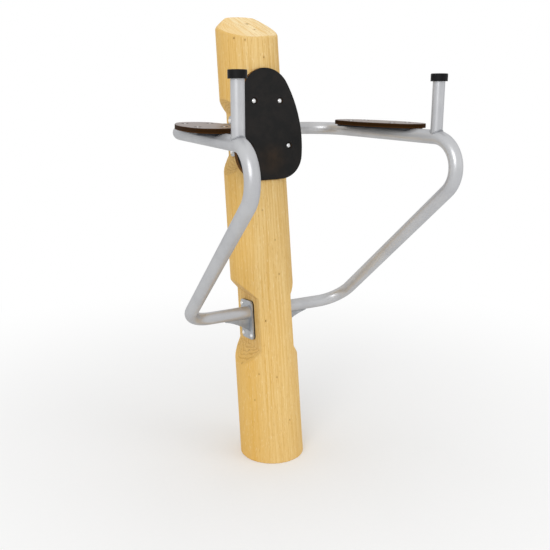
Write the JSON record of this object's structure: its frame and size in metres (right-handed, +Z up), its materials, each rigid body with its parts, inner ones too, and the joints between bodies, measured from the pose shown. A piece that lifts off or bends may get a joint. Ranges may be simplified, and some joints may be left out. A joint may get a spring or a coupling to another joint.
{
  "type": "dip station",
  "caption": "Leaning log post with a back pad and two bent tube arms that carry oval forearm pads and upright grips, for dips and leg raises outdoors.",
  "frame": {"origin": "on the ground, where the post's axis meets it, in the middle of the post's foot", "axes": "+Z up, -Y towards the user's side, +X to the right of someone facing the back pad"},
  "size_m": [0.7918, 0.8067, 1.5119],
  "materials": {
    "post_wood": "oiled turned log with fine vertical grain",
    "back_board": "black film-faced plywood, satin",
    "arm_board": "brown film-faced plywood, satin",
    "steel": "satin galvanised",
    "bracket_steel": "dark satin",
    "stainless": "bright",
    "cap_rubber": "matt black",
    "packing_rubber": "matt black"
  },
  "bodies": {
    "root": {"post": "post_wood", "back_pad": "back_board", "back_pad_screws": "stainless", "back_pad_bolts": "stainless", "back_pad_nuts": "stainless", "back_pad_bar": "steel", "back_pad_bar_screws": "stainless", "left_frame_tube": "steel", "left_lower_gusset": "steel", "left_handle_tube": "steel", "left_handle_cap": "cap_rubber", "left_arm_pad_brackets": "bracket_steel", "left_arm_pad": "arm_board", "left_arm_pad_screws": "stainless", "left_upper_flange": "steel", "left_upper_packing": "packing_rubber", "left_upper_flange_screws": "stainless", "left_lower_flange": "steel", "left_lower_packing": "packing_rubber", "left_lower_flange_screws": "stainless", "right_frame_tube": "steel", "right_lower_gusset": "steel", "right_handle_tube": "steel", "right_handle_cap": "cap_rubber", "right_arm_pad_brackets": "bracket_steel", "right_arm_pad": "arm_board", "right_arm_pad_screws": "stainless", "right_upper_flange": "steel", "right_upper_packing": "packing_rubber", "right_upper_flange_screws": "stainless", "right_lower_flange": "steel", "right_lower_packing": "packing_rubber", "right_lower_flange_screws": "stainless"}
  },
  "joints": []
}
